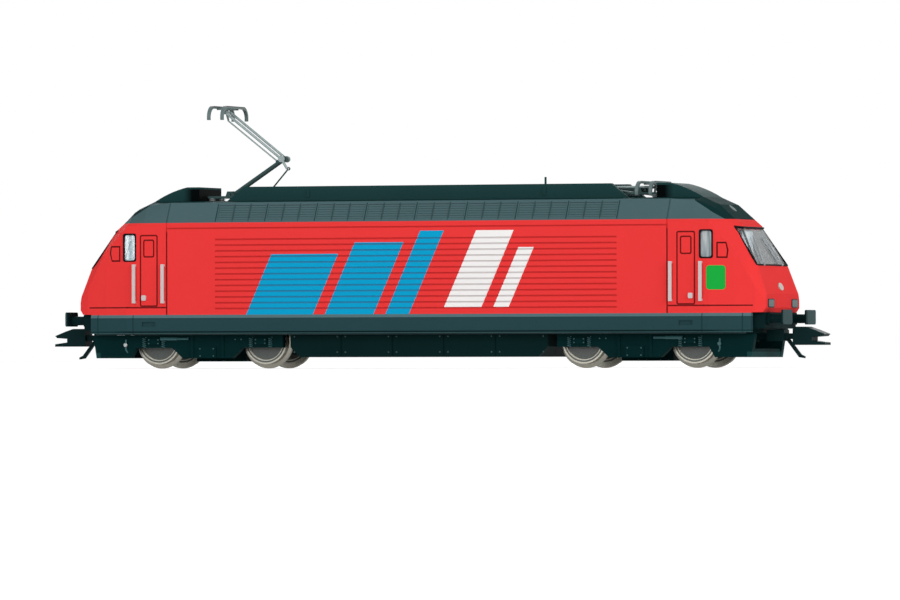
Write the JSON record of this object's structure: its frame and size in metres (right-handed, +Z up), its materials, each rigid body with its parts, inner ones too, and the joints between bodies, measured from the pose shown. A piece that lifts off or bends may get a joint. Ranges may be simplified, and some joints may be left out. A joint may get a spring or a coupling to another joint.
{
  "type": "model electric locomotive",
  "caption": "Scale model of a modern electric locomotive: streamlined cabs, ribbed sides, grilled roof shoulders, pivoting bogies and folding single-arm pantographs.",
  "frame": {"origin": "on the floor under the wheel flanges, midway between the ends and the sides", "axes": "+X along the body towards the front end with the folded pantograph, +Z up, +Y to the left"},
  "size_m": [0.2284, 0.0362, 0.0733],
  "materials": {
    "shell_paint": "satin red, grey-green shoulders and sills",
    "glazing": "clear",
    "lamp_lens": "clear silver",
    "handrail": "light grey satin",
    "roof_plastic": "dark green-grey matte",
    "wheel_steel": "turned, bright rim",
    "coupler_plastic": "black matte",
    "pantograph_metal": "dark grey-green satin",
    "bogie_plastic": "dark green-black matte",
    "beam_plastic": "black matte",
    "cab_plastic": "dark grey matte",
    "motor_metal": "plain",
    "chassis_paint": "black-green matte",
    "insulator": "pale grey gloss"
  },
  "bodies": {
    "body": {"body_shell": "shell_paint", "windscreen_front": "glazing", "windscreen_rear": "glazing", "side_windows": "glazing", "headlamps_front": "lamp_lens", "headlamps_rear": "lamp_lens", "door_handrails": "handrail", "roof_cowlings": "roof_plastic", "cab_roof_cap_front": "roof_plastic", "cab_roof_cap_rear": "roof_plastic", "chassis": "chassis_paint", "motor_block": "motor_metal", "buffer_beam_front": "beam_plastic", "buffer_beam_rear": "beam_plastic", "buffers_front": "beam_plastic", "buffers_rear": "beam_plastic", "cab_interior_front": "cab_plastic", "cab_interior_rear": "cab_plastic", "pantograph_base_front": "pantograph_metal", "pantograph_base_rear": "pantograph_metal", "nose_plates": "handrail", "roof_hatches": "roof_plastic", "roof_insulators": "insulator", "roof_bus_bar": "pantograph_metal", "roof_main_switch": "pantograph_metal", "pantograph_insulators": "insulator"},
    "bogie_front": {"bogie_frame_front": "bogie_plastic"},
    "coupler_front": {"coupler_front": "coupler_plastic"},
    "lower_arm_front": {"lower_arm_front": "pantograph_metal"},
    "upper_arm_front": {"upper_arm_front": "pantograph_metal"},
    "lower_rod_front": {"lower_rod_front": "pantograph_metal"},
    "upper_rod_front": {"upper_rod_front": "pantograph_metal"},
    "collector_head_front": {"collector_head_front": "pantograph_metal"},
    "bogie_rear": {"bogie_frame_rear": "bogie_plastic"},
    "coupler_rear": {"coupler_rear": "coupler_plastic"},
    "lower_arm_rear": {"lower_arm_rear": "pantograph_metal"},
    "upper_arm_rear": {"upper_arm_rear": "pantograph_metal"},
    "lower_rod_rear": {"lower_rod_rear": "pantograph_metal"},
    "upper_rod_rear": {"upper_rod_rear": "pantograph_metal"},
    "collector_head_rear": {"collector_head_rear": "pantograph_metal"},
    "wheelset_1": {"wheelset_1": "wheel_steel"},
    "wheelset_2": {"wheelset_2": "wheel_steel"},
    "wheelset_3": {"wheelset_3": "wheel_steel"},
    "wheelset_4": {"wheelset_4": "wheel_steel"}
  },
  "joints": [
    {"name": "bogie_swivel_front", "type": "hinge", "parent": "body", "child": "bogie_front", "pos_m": [0.0632, 0, 0.0132], "axis": [0, 0, 1], "range_deg": [-10, 10]},
    {"name": "coupler_swivel_front", "type": "hinge", "parent": "body", "child": "coupler_front", "pos_m": [0.093, 0, 0.0086], "axis": [0, 0, 1], "range_deg": [-12, 12]},
    {"name": "bogie_swivel_rear", "type": "hinge", "parent": "body", "child": "bogie_rear", "pos_m": [-0.0632, 0, 0.0132], "axis": [0, 0, -1], "range_deg": [-10, 10]},
    {"name": "coupler_swivel_rear", "type": "hinge", "parent": "body", "child": "coupler_rear", "pos_m": [-0.093, 0, 0.0086], "axis": [0, 0, -1], "range_deg": [-12, 12]},
    {"name": "wheelset_1_roll", "type": "hinge", "parent": "bogie_front", "child": "wheelset_1", "pos_m": [0.0793, 0, 0.0075], "axis": [0, 1, 0], "continuous": true},
    {"name": "wheelset_2_roll", "type": "hinge", "parent": "bogie_front", "child": "wheelset_2", "pos_m": [0.0471, 0, 0.0075], "axis": [0, 1, 0], "continuous": true},
    {"name": "wheelset_3_roll", "type": "hinge", "parent": "bogie_rear", "child": "wheelset_3", "pos_m": [-0.0471, 0, 0.0075], "axis": [0, 1, 0], "continuous": true},
    {"name": "wheelset_4_roll", "type": "hinge", "parent": "bogie_rear", "child": "wheelset_4", "pos_m": [-0.0793, 0, 0.0075], "axis": [0, 1, 0], "continuous": true},
    {"name": "pantograph_raise_front", "type": "hinge", "parent": "body", "child": "lower_arm_front", "pos_m": [0.0605, 0, 0.0487], "axis": [0, 1, 0], "range_deg": [0, 42]},
    {"name": "pantograph_knee_front", "type": "hinge", "parent": "lower_arm_front", "child": "upper_arm_front", "pos_m": [0.04263, 0, 0.04964], "axis": [0, 1, 0], "range_deg": [-97, 1]},
    {"name": "pantograph_head_front", "type": "hinge", "parent": "upper_arm_front", "child": "collector_head_front", "pos_m": [0.06423, 0, 0.04964], "axis": [0, 1, 0], "range_deg": [-1, 55]},
    {"name": "pantograph_upper_rod_front", "type": "hinge", "parent": "lower_arm_front", "child": "upper_rod_front", "pos_m": [0.04495, 0, 0.05022], "axis": [0, 1, 0], "range_deg": [-108, 1]},
    {"name": "pantograph_lower_rod_front", "type": "hinge", "parent": "body", "child": "lower_rod_front", "pos_m": [0.0508, 0, 0.0478], "axis": [0, 1, 0], "range_deg": [-1, 66]},
    {"name": "pantograph_raise_rear", "type": "hinge", "parent": "body", "child": "lower_arm_rear", "pos_m": [-0.0605, 0, 0.0487], "axis": [0, -1, 0], "range_deg": [-30, 12]},
    {"name": "pantograph_knee_rear", "type": "hinge", "parent": "lower_arm_rear", "child": "upper_arm_rear", "pos_m": [-0.04549, 0, 0.05845], "axis": [0, -1, 0], "range_deg": [-29, 69]},
    {"name": "pantograph_head_rear", "type": "hinge", "parent": "upper_arm_rear", "child": "collector_head_rear", "pos_m": [-0.06253, 0, 0.07172], "axis": [0, -1, 0], "range_deg": [-39, 17]},
    {"name": "pantograph_upper_rod_rear", "type": "hinge", "parent": "lower_arm_rear", "child": "upper_rod_rear", "pos_m": [-0.04779, 0, 0.05779], "axis": [0, -1, 0], "range_deg": [-32, 77]},
    {"name": "pantograph_lower_rod_rear", "type": "hinge", "parent": "body", "child": "lower_rod_rear", "pos_m": [-0.0508, 0, 0.0478], "axis": [0, -1, 0], "range_deg": [-48, 20]}
  ],
  "couplings": [
    {"joint": "pantograph_knee_front", "follows": "pantograph_raise_front", "ratio": -2.2633},
    {"joint": "pantograph_head_front", "follows": "pantograph_raise_front", "ratio": 1.2633},
    {"joint": "pantograph_upper_rod_front", "follows": "pantograph_raise_front", "ratio": -2.53},
    {"joint": "pantograph_lower_rod_front", "follows": "pantograph_raise_front", "ratio": 1.54},
    {"joint": "pantograph_knee_rear", "follows": "pantograph_raise_rear", "ratio": -2.2633},
    {"joint": "pantograph_head_rear", "follows": "pantograph_raise_rear", "ratio": 1.2633},
    {"joint": "pantograph_upper_rod_rear", "follows": "pantograph_raise_rear", "ratio": -2.53},
    {"joint": "pantograph_lower_rod_rear", "follows": "pantograph_raise_rear", "ratio": 1.54}
  ]
}
